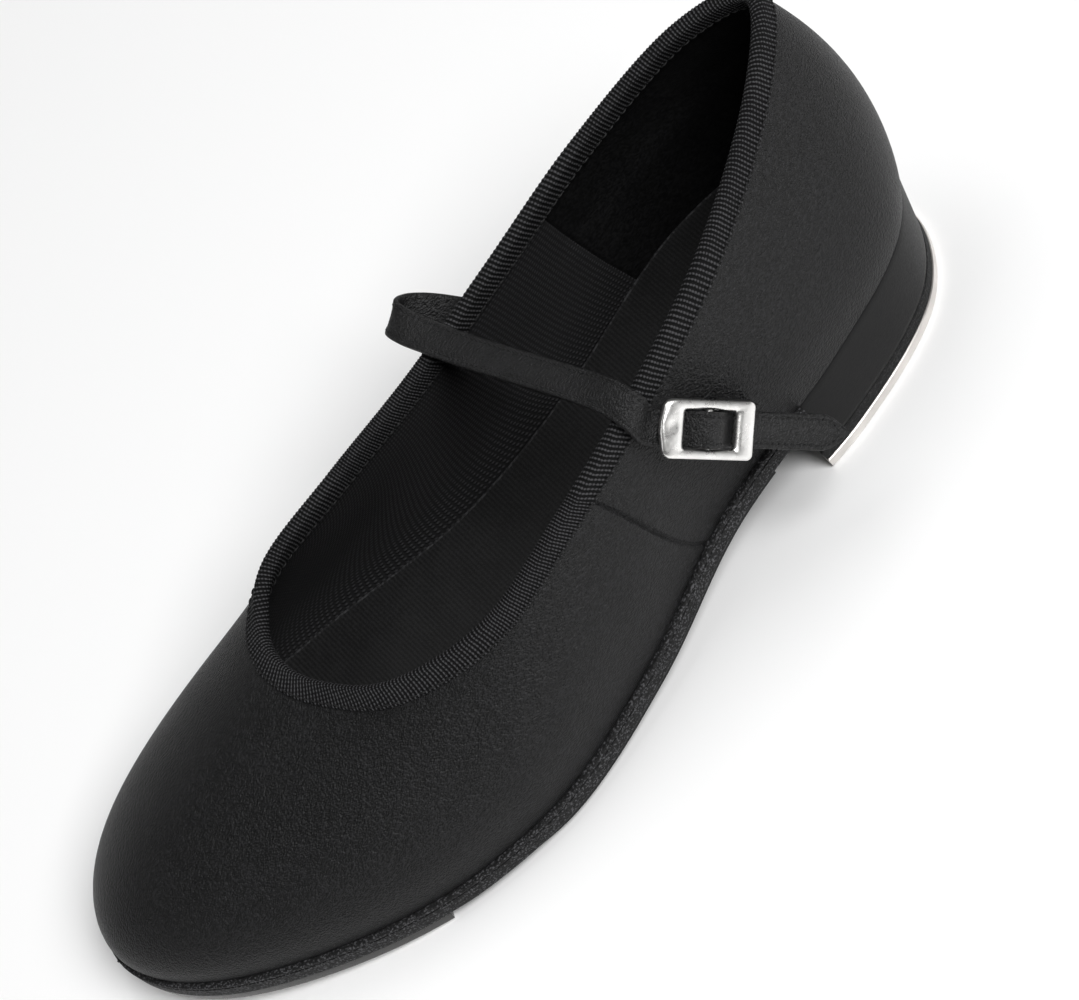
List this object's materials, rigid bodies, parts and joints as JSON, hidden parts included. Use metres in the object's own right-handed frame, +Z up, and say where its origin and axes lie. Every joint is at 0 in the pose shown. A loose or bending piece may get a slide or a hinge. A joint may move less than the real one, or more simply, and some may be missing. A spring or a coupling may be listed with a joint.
{
  "type": "tap shoe",
  "caption": "Left black leather strap tap shoe with a low heel, buckle, bound topline, and metal taps screwed under the toe and heel.",
  "frame": {"origin": "middle of the shoe's bounding box at the ground, under the taps", "axes": "+X towards the toe, +Y towards the outer (lateral) side where the buckle is, +Z up"},
  "size_m": [0.2506, 0.0917, 0.0867],
  "materials": {
    "upper_leather": "satin",
    "binding_tape": "matte",
    "mesh_lining": "matte",
    "smooth_lining": "matte",
    "stiffener": "matte",
    "sock": "matte",
    "board": "matte",
    "filler": "matte",
    "spring_steel": "satin",
    "rivet": "satin",
    "outsole_edge": "matte",
    "pad_rubber": "matte",
    "heel_body": "satin",
    "lift_rubber": "matte",
    "nail_brass": "satin",
    "tap_metal": "satin",
    "screw_steel": "satin",
    "strap_leather": "satin",
    "buckle_nickel": "polished",
    "fastener": "matte"
  },
  "bodies": {
    "root": {"vamp": "upper_leather", "quarter_lateral": "upper_leather", "quarter_medial": "upper_leather", "topline_binding": "binding_tape", "toe_puff": "stiffener", "heel_counter": "stiffener", "vamp_lining": "mesh_lining", "quarter_lining": "smooth_lining", "sock_lining": "sock", "insole_board": "board", "bottom_filler": "filler", "shank": "spring_steel", "shank_rivets": "rivet", "outsole": "outsole_edge", "rubber_pad": "pad_rubber", "heel_block": "heel_body", "heel_top_lift": "lift_rubber", "heel_nails": "nail_brass", "toe_tap": "tap_metal", "toe_tap_screws": "screw_steel", "heel_tap": "tap_metal", "heel_tap_screws": "screw_steel", "strap_root": "strap_leather", "loop_pad": "fastener"},
    "strap": {"strap": "strap_leather", "buckle_tab": "strap_leather", "hook_pad": "fastener"},
    "buckle": {"buckle_frame": "buckle_nickel", "buckle_bar": "buckle_nickel"}
  },
  "joints": [
    {"name": "strap_swing", "type": "hinge", "parent": "root", "child": "strap", "pos_m": [-0.03171, -0.03375, 0.053], "axis": [0.8367, 0.2554, -0.4844], "range_deg": [0, 100]},
    {"name": "buckle_rock", "type": "hinge", "parent": "strap", "child": "buckle", "pos_m": [-0.04702, 0.0397, 0.0511], "axis": [0.7703, 0.3882, -0.5059], "range_deg": [-2.5, 1]}
  ]
}
